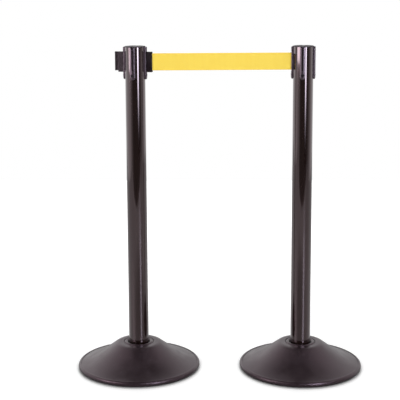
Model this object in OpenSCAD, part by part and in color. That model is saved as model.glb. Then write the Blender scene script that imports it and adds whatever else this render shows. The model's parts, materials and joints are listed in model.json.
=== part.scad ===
// Retractable belt stanchion: two weighted posts joined by a webbing belt.
// Each post holds a spring reel in its head, one belt mouth and three belt receivers.
// The belt of the right post is latched in the left post; the left post's own belt is parked at its mouth.
// The origin is on the floor midway between the posts, +X runs from the left post to the right one, +Z is up.

/* [Pair of posts] */
// Distance between the axes of the two posts
post_spacing = 498; // [420:1:2000]
// Height of each post, from the floor to the top of its cap
post_height = 991; // [700:1:1200]
// Turn of the left post about its own axis, clockwise from above
left_turn = 10; // [-15:0.5:15]
// Turn of the right post about its own axis, clockwise from above
right_turn = 7; // [-15:0.5:15]

/* [Base cover] */
// Outer diameter of the base cover
base_d = 374; // [340:1:440]
// Radius of the rounded bead along the rim
rim_bead_r = 8.4; // [7:0.1:10]
// How far round the rim bead turns under, in degrees
rim_under = 55; // [40:1:70]
// Height of the cover's lower edge above the floor
rim_floor_gap = 1.6; // [0.5:0.1:2.4]
// Drop of the ledge just inside the rim bead
rim_ledge = 1.2; // [0.4:0.1:3]
// Height of the crest of the bell's shoulder
shoulder_h = 80; // [72:0.5:100]
// Radius from the post axis to the crest of the shoulder
shoulder_crest_r = 58; // [52:0.5:66]
// Rounding radius of the shoulder
shoulder_round = 25; // [15:0.5:32]
// Slope of the bell's side, in degrees
bell_slope = 37; // [32:0.5:42]
// Length of the straight part of the bell's side
bell_straight = 30; // [15:1:38]
// Wall of the base cover
cover_wall = 3; // [2:0.1:4.5]
// Radius of the bead of the collar around the tube
collar_bead_r = 6; // [5:0.1:7]
// Height of the collar bead above the shoulder
collar_rise = 2; // [0.5:0.1:4]
// Gap between the collar bead and the tube, which holds the gasket
collar_gap = 3.2; // [2:0.1:4]
// Width of the groove outside the collar bead
collar_groove_w = 1.8; // [1:0.1:3]
// Depth of the groove outside the collar bead
collar_groove_d = 2; // [1:0.1:3]
// Depth of the collar below the crest of the shoulder
collar_depth = 10; // [7:0.5:14]
// Height of the gasket in the collar
gasket_h = 6; // [3:0.1:8]

/* [Base inside] */
// Height of the rubber ring that the base stands on
floor_ring_h = 3; // [2.5:0.1:5]
// Width of the rubber ring
floor_ring_w = 22; // [10:0.5:40]
// Distance of the rubber ring from the edge of the base plate
floor_ring_inset = 4; // [1:0.5:12]
// Thickness of the steel base plate
plate_t = 2.5; // [1.5:0.1:4]
// Radius of the raised middle of the base plate
plate_dish_r = 24; // [19:0.5:30]
// Height of the underside of the raised middle above the floor
plate_dish_h = 14; // [13:0.5:16]
// Radius of the tie bolt's shank
bolt_r = 6; // [4:0.1:8]
// Gap between the tie bolt and the bore of the ballast
ballast_bore_gap = 1; // [0.5:0.1:3]
// Width across the corners of the tie bolt's head
bolt_head_w = 21.9; // [18:0.1:28]
// Height of the tie bolt's head
bolt_head_h = 7.5; // [5:0.1:8]
// Radius of the flat washer
washer_r = 15; // [12:0.5:18]
// Radius of the lock washer
lock_washer_r = 10; // [9:0.1:12]
// Thickness of each washer
washer_t = 2; // [1.5:0.1:2.5]
// Height of the tube's lower end above the floor
tube_foot = 26; // [22:0.5:34]
// Height of the threaded foot plug
plug_h = 34; // [20:0.5:60]
// Bolt length left short of the top of the foot plug
bolt_short = 3; // [1:0.5:10]

/* [Tube] */
// Outer diameter of the post tube
tube_od = 60.3; // [58:0.1:64]
// Wall of the post tube
tube_wall = 1.5; // [1:0.1:2.2]

/* [Head ribs] */
// Width of each rib
rib_w = 16; // [15:0.1:18]
// How far the ribs stand proud of the tube
rib_proud = 6.15; // [5:0.05:8]
// Depth of the ribs' top ends below the top of the cap
rib_top_drop = 1.5; // [1:0.1:4]
// Depth of the ribs' lower ends below the top of the cap
rib_bottom_drop = 98; // [94:0.5:110]
// Radius of the ribs' crowned outer face
rib_crown_r = 16; // [14:0.5:30]
// Rounding of the ribs' outer edges
rib_round = 2.2; // [0.5:0.1:2.6]
// Rounding of the ribs' top outer corners
rib_top_round = 5.4; // [3:0.1:6]
// Distance from the middle of that rounding to the ribs' top and crown
rib_top_inset = 5; // [2.6:0.1:5.2]
// Thickness of the lips on both sides of the receiver slot
lip_t = 2.9; // [2.6:0.1:3.4]
// Width of the receiver slot
slot_w = 5; // [4.6:0.1:6]
// Width of the cavity behind the receiver slot
cavity_w = 11; // [10.6:0.1:12]
// Depth of the cavity behind the lips
cavity_d = 7; // [6.4:0.1:7.4]
// Wall behind the cavity
rib_back_wall = 1.8; // [1.2:0.1:2.2]
// Depth of the rib screws below the top of the cap
screw_drop = 85; // [84:0.5:86]
// Radius of the sunk face around each rib screw
screw_face_r = 5.5; // [5:0.1:7]
// Depth of the sunk face around each rib screw
screw_face_d = 2.2; // [1.8:0.1:2.5]
// Radius of the rib screws' heads
screw_head_r = 3.6; // [3:0.1:4.5]
// Radius of the rib screws' and cap screw's shanks
screw_r = 2; // [1.5:0.1:2.4]
// Depth that the rib screws reach into the cassette
screw_grip = 9; // [5:0.5:11]
// Width of the cross cut in the screw heads
screw_cross_w = 1; // [0.6:0.1:1.4]
// Metal left between a screw's cross and the edge of its head
screw_cross_edge = 1.4; // [0.8:0.1:1.8]

/* [Top cap] */
// Thickness of the cap
cap_t = 2; // [1.5:0.1:4]
// How far the cap overhangs the tube
cap_overhang = 0.9; // [0.3:0.1:2]
// Rounding of the cap's upper edge
cap_round = 0.9; // [0.3:0.1:1.2]
// Outer radius of the ring that carries the cap on the cassette
cap_ring_r = 21; // [16:0.5:23]
// Wall of that ring
cap_ring_wall = 2; // [1.5:0.1:3]
// Radius of the cap screw's sunk head
cap_screw_head_r = 3.8; // [3:0.1:4.5]
// Length of the cap screw
cap_screw_len = 8; // [5:0.5:9]
// Free depth of the hole beyond the end of the cap screw
cap_screw_room = 0.5; // [0.2:0.1:1]

/* [Belt and clip] */
// Width of the webbing belt
belt_width = 50.8; // [45:0.1:52]
// Thickness of the webbing
belt_t = 0.5; // [0.4:0.05:0.55]
// Whole length of each belt
belt_length = 2286; // [1500:1:2400]
// Depth of the belt's middle below the top of the cap
belt_drop = 45.7; // [45:0.1:47]
// Height of the clip's body
clip_h = 60; // [59:0.1:61.5]
// Length of the clip's body along the belt
clip_len = 15.8; // [13:0.1:24]
// Thickness of the clip's body
clip_w = 12; // [10:0.1:13]
// Rounding of the clip's upright edges
clip_round = 1.6; // [0.5:0.1:2.5]
// Depth of the clip's top below the top of the cap
clip_drop = 16; // [15:0.1:17]
// Height of the clip's tongue
tongue_h = 56; // [50:0.1:58]
// Thickness of the tongue's neck
tongue_neck_w = 4; // [3:0.1:4.4]
// Width of the bar along the tongue's edge
tongue_bar_w = 10; // [8:0.1:10.4]
// Depth of that bar
tongue_bar_d = 3.2; // [2.5:0.1:4]
// Distance from the belt end of the clip to the belt pin
clip_pin_back = 6; // [5:0.1:8]
// Radius of the pin that holds the belt's end loop
clip_pin_r = 2; // [1.5:0.1:2.4]
// Depth of the pocket in the mouth that the parked clip sits in
mouth_pocket_d = 2; // [1:0.1:3]
// Radius of the two guide pins behind the mouth
guide_pin_r = 1.5; // [1:0.1:1.8]
// Distance of the guide pins from the post axis
guide_pin_x = 28.6; // [28:0.1:29]
// Free width between the guide pins
guide_gap = 0.8; // [0.7:0.05:1.2]
// Length of the guide pins' ends held in the mouth guide
guide_pin_grip = 3; // [2:0.1:6]
// Width of the slot in the mouth guide
mouth_slot_w = 2.4; // [1.6:0.1:3.4]
// Width of the room behind that slot
mouth_room_w = 13; // [10:0.1:14]
// How far that room reaches past the guide pins
mouth_room_past = 1; // [0.5:0.1:1.4]
// Free height above and below the belt in the mouth and in the clip
belt_room = 1.2; // [0.6:0.1:1.6]
// Free width around the belt where it leaves the clip
clip_slot_room = 1; // [0.6:0.1:2]
// Gap between the clip's pin and the belt's loop
loop_gap = 0.1; // [0.05:0.01:0.2]
// Distance from the mouth and from the clip at which the belt bends
belt_bend_out = 2; // [1:0.1:4]
// Width of the window in the tube beside the mouth
window_w = 14.5; // [6:0.1:16]
// Height of that window
window_h = 47; // [30:0.5:50]

/* [Reel] */
// Radius of the reel's core
reel_core_r = 8; // [7:0.1:9]
// Bore of the reel's core, for the bushes
reel_bore_r = 5; // [4.5:0.1:5.5]
// Radius of the reel's flanges
reel_flange_r = 22; // [21.5:0.1:22.3]
// Thickness of each flange
reel_flange_t = 1.5; // [1:0.1:2]
// Free height between the wound belt and each flange
flange_room = 0.4; // [0.2:0.05:0.8]
// Radius of the fixed reel shaft
shaft_r = 3; // [2.5:0.1:3.5]
// Length of each bush
bush_len = 10; // [6:0.5:14]
// Wall of the cassette around the reel
cassette_wall = 1.5; // [1.2:0.1:1.7]
// Height of the cassette's floor block, which takes the rib screws
cassette_floor_h = 19; // [16:0.5:24]
// Width of the cassette's opening towards the mouth
cassette_mouth_w = 20; // [15:0.5:24]
// Thickness of the cassette's lid
lid_t = 3; // [2:0.1:4]
// Radius of the boss on the cassette's lid
lid_boss_r = 6; // [5:0.1:8]
// Width of the return spring's strip
spring_w = 14; // [8:0.5:18]
// Thickness of the return spring's strip
spring_t = 0.5; // [0.3:0.05:0.8]
// Turns of the return spring
spring_turns = 6; // [4:1:8]
// Wall of the spring cup
spring_cup_wall = 1.5; // [1:0.1:2]

/* [Clearances] */
// Gap between pieces that are seated on each other or slide past each other
seat_gap = 0.3; // [0.2:0.05:0.4]
// Radial clearance of pins and shafts that turn or slide
running_fit = 0.04; // [0.02:0.01:0.08]
// Side gap between a rib and its cut in the tube
rib_gap = 0.2; // [0.1:0.05:0.3]

/* [Hidden] */
$fn = 64;
large_round = 128;
small_round = 32;
arc_steps = 16;
short_arc_steps = 6;
spring_steps = 20;
over = 1;
tube_r = tube_od / 2;
tube_in_r = tube_r - tube_wall;
half_spacing = post_spacing / 2;

collar_in_r = tube_r + collar_gap;
collar_bead_c = [collar_in_r + collar_bead_r, shoulder_h + collar_rise - collar_bead_r];
collar_seat_z = shoulder_h - collar_depth;
groove_z = shoulder_h - collar_groove_d;
groove_angle = asin((groove_z - collar_bead_c.y) / collar_bead_r);
groove_in_r = collar_bead_c.x + collar_bead_r * cos(groove_angle);
collar_skirt_r = collar_bead_c.x + collar_bead_r + cover_wall;

rim_c = [base_d / 2 - rim_bead_r, rim_floor_gap + rim_bead_r * sin(rim_under)];
shoulder_c = [shoulder_crest_r, shoulder_h - shoulder_round];
slope_top = shoulder_c + shoulder_round * [sin(bell_slope), cos(bell_slope)];
slope_end = slope_top + bell_straight * [cos(bell_slope), -sin(bell_slope)];
flare_end = [rim_c.x, rim_c.y + rim_bead_r - rim_ledge];
flare_chord = flare_end - slope_end;
flare_chord_slope = atan2(-flare_chord.y, flare_chord.x);
flare_end_slope = 2 * flare_chord_slope - bell_slope;
flare_r = norm(flare_chord) / (2 * sin(bell_slope - flare_chord_slope));
flare_c = slope_end + flare_r * [sin(bell_slope), cos(bell_slope)];
rim_in_r = rim_c.x - cover_wall * sin(flare_end_slope);

plate_r = rim_in_r - seat_gap;
plate_top = floor_ring_h + plate_t;
dish_top = plate_dish_h + plate_t;
plug_top = tube_foot + plug_h;
bolt_head_top = plate_dish_h - 2 * washer_t;

tube_top = post_height - cap_t;
rib_r = tube_r + rib_proud;
rib_back_r = rib_r - lip_t - cavity_d - rib_back_wall;
rib_top = post_height - rib_top_drop;
rib_bottom = post_height - rib_bottom_drop;
cavity_floor = post_height - clip_drop - tongue_h - seat_gap;
cavity_back_r = rib_back_r + rib_back_wall;
screw_z = post_height - screw_drop;
screw_seat_r = rib_r - screw_face_d;

belt_z = post_height - belt_drop - belt_width / 2;
belt_top = belt_z + belt_width;
cassette_r = rib_back_r - seat_gap;
cassette_in_r = cassette_r - cassette_wall;
reel_low = belt_z - flange_room - reel_flange_t;
reel_high = belt_top + flange_room + reel_flange_t;
cassette_floor_top = reel_low - seat_gap;
cassette_low = cassette_floor_top - cassette_floor_h;
lid_low = reel_high + seat_gap;
lid_top = lid_low + lid_t;
lid_boss_top = tube_top - seat_gap;
spring_top = cassette_low - seat_gap;
spring_low = spring_top - spring_w;
cup_low = spring_low - seat_gap - spring_cup_wall;
reel_foot = spring_low;
shaft_low = cup_low;
shaft_top = lid_top;
cap_sink_z = post_height - cap_screw_head_r + screw_r;

mouth_pocket_r = rib_r - mouth_pocket_d;
mouth_room_r = guide_pin_x + guide_pin_r + mouth_room_past;
guide_pin_y = guide_pin_r + guide_gap / 2;
guide_pin_low = belt_z - belt_room - guide_pin_grip;
guide_pin_top = belt_top + belt_room + guide_pin_grip;
window_angle = asin((rib_w / 2 + rib_gap) / tube_r) + asin(window_w / 2 / tube_r);

clip_low = post_height - clip_drop - clip_h;
clip_top = post_height - clip_drop;
tongue_len = rib_r + seat_gap - cavity_back_r - seat_gap;
clip_pin_x = clip_len - clip_pin_back;
loop_in_r = clip_pin_r + loop_gap;
loop_out_r = loop_in_r + belt_t;
clip_slot_w = belt_t + clip_slot_room;
parked_face = -(mouth_pocket_r + seat_gap + clip_len);
latched_face = rib_r + seat_gap;

left_belt_out = 0;
right_belt_out = post_spacing - latched_face - clip_len - rib_r;

// Directions of the ribs in a post's own frame
front_side = -90;
back_side = 90;
far_side = 0;
mouth_side = 180;

// Points along an arc about c from angle a to angle b
function arc(c, r, a, b, n = arc_steps) =
    [for (i = [0 : n]) c + r * [cos(a + (b - a) * i / n), sin(a + (b - a) * i / n)]];

function reversed(list) = [for (i = [len(list) - 1 : -1 : 0]) list[i]];

// Shoulder, side and flare of the bell, moved inwards by inset
function bell_line(inset) = concat(
    arc(shoulder_c, shoulder_round - inset, 90, 90 - bell_slope),
    arc(flare_c, flare_r + inset, 270 - bell_slope, 270 - flare_end_slope)
);

// A point of a post's own frame as a point of the pair
function placed(p, x, turn) =
    [x + p.x * cos(turn) + p.y * sin(turn), p.y * cos(turn) - p.x * sin(turn)];

// Outer radius of the wound belt when a length of it is drawn out
function coil_r(out) = sqrt(pow(reel_core_r, 2) + (belt_length - out) * belt_t / PI);

// Unit vector square to the path at point i
function along(path, i) =
    let (a = path[max(i - 1, 0)], b = path[min(i + 1, len(path) - 1)]) (b - a) / norm(b - a);
function square_to(path, i) = [-along(path, i).y, along(path, i).x];

// Outline of a strip of thickness t along a path
function strip(path, t) = concat(
    [for (i = [0 : len(path) - 1]) path[i] + square_to(path, i) * t / 2],
    [for (i = [len(path) - 1 : -1 : 0]) path[i] - square_to(path, i) * t / 2]
);

// Belt path in the post frame from the guide pins to the wound belt
function reel_path(out) =
    let (
        wound = coil_r(out) + seat_gap + belt_t / 2,
        pin = [-guide_pin_x, guide_pin_y],
        leave = atan2(pin.y, pin.x) - acos((wound + guide_pin_y) / norm(pin))
    )
    concat(arc(pin, guide_pin_y, -90, leave - 180, short_arc_steps), [wound * [cos(leave), sin(leave)]]);

module at_left() {
    translate([-half_spacing, 0, 0]) rotate([0, 0, -left_turn]) children();
}

module at_right() {
    translate([half_spacing, 0, 0]) rotate([0, 0, -right_turn]) children();
}

module disc(r, low, high) {
    translate([0, 0, low]) cylinder(r = r, h = high - low);
}

module ring(r_out, r_in, low, high) {
    difference() {
        disc(r_out, low, high);
        disc(r_in, low - over, high + over);
    }
}

// Round bar lying along +X at height z
module cross_bar(r, from, to, z) {
    translate([from, 0, z]) rotate([0, 90, 0]) cylinder(r = r, h = to - from);
}

// Box from x = from to x = to, centred on the rib's middle plane
module slab(from, to, w, low, high) {
    translate([from, -w / 2, low]) cube([to - from, w, high - low]);
}

module base_cover() {
    color([0.20, 0.17, 0.18])
    rotate_extrude($fn = large_round)
    polygon(concat(
        [[collar_in_r, collar_seat_z]],
        arc(collar_bead_c, collar_bead_r, 180, groove_angle),
        [[groove_in_r + collar_groove_w, groove_z], [groove_in_r + collar_groove_w, shoulder_h]],
        bell_line(0),
        arc(rim_c, rim_bead_r, 90, -rim_under),
        [[rim_in_r, rim_floor_gap]],
        reversed(bell_line(cover_wall)),
        [[collar_skirt_r, shoulder_h - cover_wall], [collar_skirt_r, collar_seat_z]]
    ));
}

module ballast() {
    inset = cover_wall + seat_gap;
    bore_r = tube_r + seat_gap;
    hole_r = bolt_r + ballast_bore_gap;
    color([0.55, 0.54, 0.52])
    rotate_extrude($fn = large_round)
    polygon(concat(
        [[hole_r, tube_foot], [bore_r, tube_foot], [bore_r, collar_seat_z]],
        [[collar_skirt_r + seat_gap, collar_seat_z], [collar_skirt_r + seat_gap, shoulder_h - inset]],
        bell_line(inset),
        [[plate_r, plate_top]],
        [[plate_dish_r + plate_t + seat_gap, plate_top], [plate_dish_r + plate_t + seat_gap, dish_top]],
        [[hole_r, dish_top]]
    ));
}

module base_plate() {
    color([0.60, 0.61, 0.62])
    rotate_extrude($fn = large_round)
    polygon([
        [bolt_r + seat_gap, plate_dish_h], [plate_dish_r, plate_dish_h],
        [plate_dish_r, floor_ring_h], [plate_r, floor_ring_h],
        [plate_r, plate_top], [plate_dish_r + plate_t, plate_top],
        [plate_dish_r + plate_t, dish_top], [bolt_r + seat_gap, dish_top]
    ]);
}

module floor_ring() {
    ring_out = plate_r - floor_ring_inset;
    color([0.07, 0.07, 0.07])
    ring(ring_out, ring_out - floor_ring_w, 0, floor_ring_h);
}

module tie_bolt() {
    color([0.72, 0.73, 0.74]) {
        translate([0, 0, bolt_head_top - bolt_head_h])
        cylinder(d = bolt_head_w, h = bolt_head_h, $fn = 6);
        disc(bolt_r, bolt_head_top, plug_top - bolt_short);
    }
}

module washers() {
    color([0.75, 0.75, 0.76]) {
        ring(washer_r, bolt_r + seat_gap, plate_dish_h - washer_t, plate_dish_h);
        difference() {
            ring(lock_washer_r, bolt_r + seat_gap, bolt_head_top, bolt_head_top + washer_t);
            slab(0, washer_r, over, bolt_head_top - over, bolt_head_top + washer_t + over);
        }
    }
}

module foot_plug() {
    color([0.62, 0.63, 0.64])
    ring(tube_in_r - running_fit, bolt_r + running_fit, tube_foot, plug_top);
}

module collar_gasket() {
    color([0.04, 0.04, 0.04])
    ring(collar_in_r - seat_gap, tube_r + running_fit, collar_seat_z, collar_seat_z + gasket_h);
}

// Cut in the tube for one rib, along +X
module rib_cut() {
    slab(tube_in_r / 2, rib_r, rib_w + 2 * rib_gap, rib_bottom + rib_w / 2, tube_top + over);
    cross_bar(rib_w / 2 + rib_gap, tube_in_r / 2, rib_r, rib_bottom + rib_w / 2);
}

module post_tube() {
    window_mid = post_height - belt_drop;
    color([0.05, 0.05, 0.055])
    difference() {
        disc(tube_r, tube_foot, tube_top);
        disc(tube_in_r, tube_foot - over, tube_top + over);
        for (side = [front_side, back_side, far_side, mouth_side])
            rotate([0, 0, side]) rib_cut();
        rotate([0, 0, mouth_side + window_angle])
        slab(tube_in_r - over, rib_r, window_w, window_mid - window_h / 2, window_mid + window_h / 2);
    }
}

// Cross-section of a rib from its back to its crowned outer face, along +X
module rib_section() {
    crown_x = rib_r - rib_crown_r;
    corner_y = rib_w / 2 - rib_round;
    corner_turn = asin(corner_y / (rib_crown_r - rib_round));
    corner_x = crown_x + (rib_crown_r - rib_round) * cos(corner_turn);
    difference() {
        intersection() {
            translate([rib_back_r, -rib_w / 2]) square([rib_r - rib_back_r, rib_w]);
            translate([crown_x, 0]) circle(rib_crown_r, $fn = large_round);
        }
        for (side = [-1, 1])
            polygon([
                [corner_x, side * corner_y],
                [corner_x, side * rib_w],
                [corner_x + rib_w * cos(corner_turn), side * (corner_y + rib_w * sin(corner_turn))],
            ]);
    }
    for (side = [-1, 1])
        translate([corner_x, side * corner_y]) circle(rib_round, $fn = small_round);
}

// Solid rib with a round lower end, a rounded top corner and a sunk face for its screw, along +X
module rib_blank() {
    difference() {
        union() {
            translate([0, 0, rib_bottom + rib_w / 2])
            linear_extrude(rib_top - rib_bottom - rib_w / 2) rib_section();
            translate([0, 0, rib_bottom + rib_w / 2])
            rotate([0, 90, 0])
            rotate_extrude()
            intersection() {
                rotate([0, 0, 90]) rib_section();
                translate([0, rib_back_r]) square([rib_w, rib_r]);
            }
        }
        cross_bar(screw_face_r, screw_seat_r, rib_r + over, screw_z);
        cross_bar(screw_r + running_fit, rib_back_r - over, rib_r, screw_z);
        translate([rib_r - rib_top_inset, 0, rib_top - rib_top_inset])
        rotate([90, 0, 0])
        linear_extrude(2 * rib_w, center = true)
        difference() {
            square(2 * rib_top_round);
            circle(rib_top_round);
        }
    }
}

module receiver(side) {
    color([0.07, 0.07, 0.075])
    rotate([0, 0, side])
    difference() {
        rib_blank();
        slab(cavity_back_r, cavity_back_r + cavity_d, cavity_w, cavity_floor, rib_top + over);
        slab(cavity_back_r, rib_r + over, slot_w, cavity_floor, rib_top + over);
    }
}

module mouth_guide() {
    color([0.07, 0.07, 0.075])
    rotate([0, 0, mouth_side])
    difference() {
        rib_blank();
        slab(mouth_pocket_r, rib_r + over, clip_w + 2 * seat_gap, clip_low - seat_gap, clip_top + seat_gap);
        slab(rib_back_r - over, rib_r, mouth_slot_w, belt_z - belt_room, belt_top + belt_room);
        slab(rib_back_r - over, mouth_room_r, mouth_room_w, belt_z - belt_room, belt_top + belt_room);
        for (y = [-guide_pin_y, guide_pin_y])
            translate([guide_pin_x, y, 0])
            disc(guide_pin_r + running_fit, guide_pin_low, guide_pin_top);
    }
}

module guide_pins() {
    color([0.78, 0.78, 0.79])
    for (y = [-guide_pin_y, guide_pin_y])
        translate([-guide_pin_x, y, 0])
        disc(guide_pin_r, guide_pin_low, guide_pin_top);
}

// Screw along +X with its head's outer face at x = 0
module rib_screw() {
    head_h = screw_face_d;
    cross_r = screw_head_r - screw_cross_edge;
    difference() {
        union() {
            cross_bar(screw_head_r, -head_h, 0, 0);
            cross_bar(screw_r, cassette_r - screw_grip - rib_r, -head_h, 0);
        }
        for (turn = [0, 90])
            rotate([turn, 0, 0])
            slab(-head_h / 2, over, screw_cross_w, -cross_r, cross_r);
    }
}

module rib_screws() {
    color([0.12, 0.12, 0.13])
    for (side = [front_side, back_side, far_side, mouth_side])
        rotate([0, 0, side]) translate([rib_r, 0, screw_z]) rib_screw();
}

module cassette_body() {
    color([0.16, 0.16, 0.17])
    difference() {
        disc(cassette_r, cassette_low, lid_low);
        disc(cassette_in_r, cassette_floor_top, lid_low + over);
        disc(reel_core_r + running_fit, cassette_low - over, cassette_floor_top + over);
        slab(-cassette_r - over, 0, cassette_mouth_w, belt_z - belt_room, belt_top + belt_room);
        for (side = [front_side, back_side, far_side, mouth_side])
            rotate([0, 0, side])
            cross_bar(screw_r + running_fit, cassette_r - screw_grip, cassette_r + over, screw_z);
    }
}

module cassette_lid() {
    color([0.16, 0.16, 0.17])
    difference() {
        union() {
            disc(cassette_r, lid_low, lid_top);
            disc(lid_boss_r, lid_low, lid_boss_top);
        }
        disc(shaft_r + running_fit, lid_low - over, shaft_top);
        disc(screw_r + running_fit, post_height - cap_screw_len - cap_screw_room, lid_boss_top + over);
    }
}

module top_cap() {
    cap_r = tube_r + cap_overhang;
    notch_w = cavity_w + 2 * seat_gap;
    rib_notch_w = rib_w + 2 * seat_gap;
    sink_h = post_height - cap_sink_z + running_fit;
    color([0.09, 0.09, 0.095])
    difference() {
        union() {
            rotate_extrude($fn = large_round)
            polygon(concat(
                [[0, tube_top], [cap_r, tube_top]],
                arc([cap_r - cap_round, post_height - cap_round], cap_round, 0, 90, short_arc_steps),
                [[0, post_height]]
            ));
            ring(cap_ring_r, cap_ring_r - cap_ring_wall, lid_top, tube_top);
        }
        translate([0, 0, cap_sink_z])
        cylinder(r1 = screw_r + seat_gap, r2 = cap_screw_head_r + seat_gap, h = sink_h);
        disc(screw_r + seat_gap, tube_top - over, post_height);
        for (side = [front_side, back_side, far_side])
            rotate([0, 0, side])
            slab(cavity_back_r - seat_gap, rib_r, notch_w, tube_top - over, post_height + over);
        for (side = [front_side, back_side, far_side, mouth_side])
            rotate([0, 0, side])
            slab(rib_back_r - seat_gap, rib_r, rib_notch_w, tube_top - over, rib_top + seat_gap);
    }
}

module cap_screw() {
    cross_r = cap_screw_head_r - screw_cross_edge;
    color([0.70, 0.70, 0.72])
    difference() {
        union() {
            translate([0, 0, cap_sink_z])
            cylinder(r1 = screw_r, r2 = cap_screw_head_r, h = post_height - cap_sink_z);
            disc(screw_r, post_height - cap_screw_len, cap_sink_z);
        }
        for (turn = [0, 90])
            rotate([0, 0, turn])
            slab(-cross_r, cross_r, screw_cross_w, post_height - over, post_height + over);
    }
}

module reel() {
    color([0.80, 0.80, 0.78])
    difference() {
        union() {
            disc(reel_core_r, reel_foot, reel_high);
            disc(reel_flange_r, reel_low, reel_low + reel_flange_t);
            disc(reel_flange_r, reel_high - reel_flange_t, reel_high);
        }
        disc(reel_bore_r, reel_foot - over, reel_high + over);
    }
}

module belt_coil(out) {
    color([0.96, 0.80, 0.25])
    ring(coil_r(out), reel_core_r + running_fit, belt_z, belt_top);
}

module reel_shaft() {
    color([0.70, 0.71, 0.73])
    disc(shaft_r, shaft_low, shaft_top);
}

module reel_bushes() {
    color([0.72, 0.58, 0.30])
    for (low = [reel_foot, reel_high - bush_len])
        ring(reel_bore_r - running_fit / 2, shaft_r + running_fit, low, low + bush_len);
}

module spring_cup() {
    color([0.60, 0.61, 0.62])
    difference() {
        disc(cassette_r, cup_low, cassette_low);
        disc(cassette_r - spring_cup_wall, cup_low + spring_cup_wall, cassette_low + over);
        disc(shaft_r + running_fit, cup_low - over, cup_low + 2 * spring_cup_wall);
    }
}

module return_spring() {
    inner = reel_core_r + seat_gap + spring_t / 2;
    outer = cassette_r - spring_cup_wall - seat_gap - spring_t / 2;
    steps = spring_turns * spring_steps;
    path = [for (i = [0 : steps]) let (r = inner + (outer - inner) * i / steps, a = 360 * i / spring_steps)
        r * [cos(a), sin(a)]];
    color([0.35, 0.38, 0.42])
    translate([0, 0, spring_low]) linear_extrude(spring_w) polygon(strip(path, spring_t));
}

// Clip with its tongue towards -X and the tongue side of its body at x = 0
module clip_blank() {
    translate([0, 0, clip_low])
    linear_extrude(clip_h)
    union() {
        translate([clip_round, -clip_w / 2]) square([clip_len - 2 * clip_round, clip_w]);
        translate([0, clip_round - clip_w / 2]) square([clip_len, clip_w - 2 * clip_round]);
        for (x = [clip_round, clip_len - clip_round], y = [clip_round - clip_w / 2, clip_w / 2 - clip_round])
            translate([x, y]) circle(clip_round, $fn = small_round);
    }
    slab(-tongue_len, over, tongue_neck_w, clip_top - tongue_h, clip_top);
    slab(-tongue_len, tongue_bar_d - tongue_len, tongue_bar_w, clip_top - tongue_h, clip_top);
}

module belt_clip(face) {
    color([0.055, 0.055, 0.06])
    translate([face, 0, 0])
    difference() {
        clip_blank();
        translate([clip_pin_x, 0, 0]) disc(clip_pin_r + running_fit, clip_low - over, clip_top + over);
        translate([clip_pin_x, 0, 0]) disc(loop_out_r + seat_gap, belt_z - belt_room, belt_top + belt_room);
        slab(clip_pin_x, clip_len + over, clip_slot_w, belt_z - belt_room, belt_top + belt_room);
    }
}

module clip_pin(face) {
    color([0.74, 0.74, 0.76])
    translate([face + clip_pin_x, 0, 0]) disc(clip_pin_r, clip_low, clip_top);
}

// Belt of webbing along a path, with its end looped around the clip's pin at eye
module belt(path, eye) {
    color([0.98, 0.83, 0.25])
    difference() {
        union() {
            translate([0, 0, belt_z]) linear_extrude(belt_width) polygon(strip(path, belt_t));
            translate(eye) disc(loop_out_r, belt_z, belt_top);
        }
        translate(eye) disc(loop_in_r, belt_z - over, belt_top + over);
    }
}

module left_belt() {
    eye = [parked_face + clip_pin_x, 0];
    start = eye - [loop_in_r + belt_t / 2, 0];
    belt(concat([start + [2 * loop_in_r + belt_t, 0]], reel_path(left_belt_out)), eye);
}

module right_belt() {
    eye = placed([latched_face + clip_pin_x, 0], -half_spacing, left_turn);
    start = placed([latched_face + clip_pin_x + loop_in_r + belt_t / 2, 0], -half_spacing, left_turn);
    leave = placed([latched_face + clip_len + belt_bend_out, 0], -half_spacing, left_turn);
    enter = placed([-rib_r - belt_bend_out, 0], half_spacing, right_turn);
    inside = [for (p = reel_path(right_belt_out)) placed(p, half_spacing, right_turn)];
    belt(concat([start, leave, enter], inside), eye);
}

at_left() base_cover();  // left_base_cover
at_left() ballast();  // left_ballast
at_left() base_plate();  // left_base_plate
at_left() floor_ring();  // left_floor_ring
at_left() tie_bolt();  // left_tie_bolt
at_left() washers();  // left_washers
at_left() foot_plug();  // left_foot_plug
at_left() collar_gasket();  // left_collar_gasket
at_left() post_tube();  // left_post_tube
at_left() top_cap();  // left_top_cap
at_left() cap_screw();  // left_cap_screw
at_left() cassette_body();  // left_cassette_body
at_left() cassette_lid();  // left_cassette_lid
at_left() receiver(front_side);  // left_front_receiver
at_left() receiver(back_side);  // left_back_receiver
at_left() receiver(far_side);  // left_side_receiver
at_left() mouth_guide();  // left_mouth_guide
at_left() rib_screws();  // left_rib_screws
at_left() guide_pins();  // left_guide_pins
at_left() reel();  // left_reel
at_left() belt_coil(left_belt_out);  // left_belt_coil
at_left() reel_shaft();  // left_reel_shaft
at_left() reel_bushes();  // left_reel_bushes
at_left() spring_cup();  // left_spring_cup
at_left() return_spring();  // left_return_spring
at_left() left_belt();
at_left() belt_clip(parked_face);  // left_belt_clip
at_left() clip_pin(parked_face);  // left_clip_pin
at_right() base_cover();  // right_base_cover
at_right() ballast();  // right_ballast
at_right() base_plate();  // right_base_plate
at_right() floor_ring();  // right_floor_ring
at_right() tie_bolt();  // right_tie_bolt
at_right() washers();  // right_washers
at_right() foot_plug();  // right_foot_plug
at_right() collar_gasket();  // right_collar_gasket
at_right() post_tube();  // right_post_tube
at_right() top_cap();  // right_top_cap
at_right() cap_screw();  // right_cap_screw
at_right() cassette_body();  // right_cassette_body
at_right() cassette_lid();  // right_cassette_lid
at_right() receiver(front_side);  // right_front_receiver
at_right() receiver(back_side);  // right_back_receiver
at_right() receiver(far_side);  // right_side_receiver
at_right() mouth_guide();  // right_mouth_guide
at_right() rib_screws();  // right_rib_screws
at_right() guide_pins();  // right_guide_pins
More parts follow.
